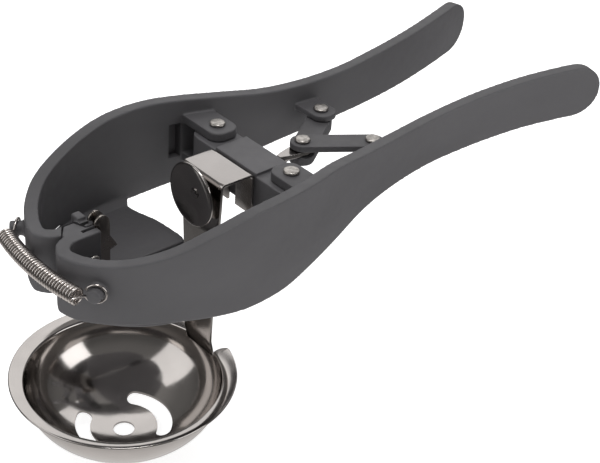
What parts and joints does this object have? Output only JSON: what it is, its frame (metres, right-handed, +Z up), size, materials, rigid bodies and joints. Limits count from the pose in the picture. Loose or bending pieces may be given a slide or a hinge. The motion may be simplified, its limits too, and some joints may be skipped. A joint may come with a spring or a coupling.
{
  "type": "egg cracker with hanging separator bowl",
  "caption": "Hand-held egg cracker: two sprung levers with half floors and blades, a toggle-driven pressing disc, and a slotted separator bowl hanging below.",
  "frame": {"origin": "centre of the bridge block's flat raised top, midway between the two pivot rivets", "axes": "+Z up out of the block's top, +X towards the grips, jaws towards -X, +Y to the right of the user who holds the grips"},
  "size_m": [0.2484, 0.086, 0.114],
  "materials": {
    "dark_plastic": "satin dark grey moulding with a fine grain",
    "polished_steel": "polished stainless steel",
    "blade_steel": "ground stainless steel",
    "rivet_steel": "peened and lightly marked steel",
    "spring_steel": "bright drawn spring wire"
  },
  "bodies": {
    "bridge": {"bridge_block": "dark_plastic", "left_pivot_rivet": "rivet_steel", "right_pivot_rivet": "rivet_steel", "bowl_hanger": "polished_steel", "separator_bowl": "polished_steel", "return_spring": "spring_steel"},
    "left_lever": {"left_lever": "dark_plastic", "left_egg_floor": "dark_plastic", "left_blade": "blade_steel", "left_blade_rivet": "rivet_steel", "left_link_rivet": "rivet_steel"},
    "right_lever": {"right_lever": "dark_plastic", "right_egg_floor": "dark_plastic", "right_blade": "blade_steel", "right_blade_rivet": "rivet_steel", "right_link_rivet": "rivet_steel"},
    "left_link": {"left_link": "dark_plastic"},
    "right_link": {"right_link": "dark_plastic"},
    "plunger": {"plunger_rod": "polished_steel", "plunger_disc": "polished_steel", "disc_rivet": "rivet_steel", "toggle_pin": "rivet_steel"}
  },
  "joints": [
    {"name": "left_lever_hinge", "type": "hinge", "parent": "bridge", "child": "left_lever", "pos_m": [0, -0.0212, 0], "axis": [0, 0, 1], "range_deg": [0, 10], "stiffness_Nm_per_rad": 0.8, "deforming": ["return_spring"]},
    {"name": "right_lever_hinge", "type": "hinge", "parent": "bridge", "child": "right_lever", "pos_m": [0, 0.0212, 0], "axis": [0, 0, -1], "range_deg": [0, 10], "stiffness_Nm_per_rad": 0.8},
    {"name": "plunger_slide", "type": "slide", "parent": "bridge", "child": "plunger", "axis": [-1, 0, 0], "range_m": [0, 0.0054]},
    {"name": "left_link_hinge", "type": "hinge", "parent": "left_lever", "child": "left_link", "pos_m": [0.0465, -0.0148, 0], "axis": [0, 0, 1], "range_deg": [0, 9.01]},
    {"name": "right_link_hinge", "type": "hinge", "parent": "right_lever", "child": "right_link", "pos_m": [0.0465, 0.0148, 0], "axis": [0, 0, -1], "range_deg": [0, 9.01]}
  ],
  "couplings": [
    {"joint": "right_lever_hinge", "follows": "left_lever_hinge", "ratio": 1},
    {"joint": "plunger_slide", "follows": "left_lever_hinge", "m_per_rad": 0.0309},
    {"joint": "left_link_hinge", "follows": "left_lever_hinge", "ratio": 0.9},
    {"joint": "right_link_hinge", "follows": "left_lever_hinge", "ratio": 0.9}
  ]
}
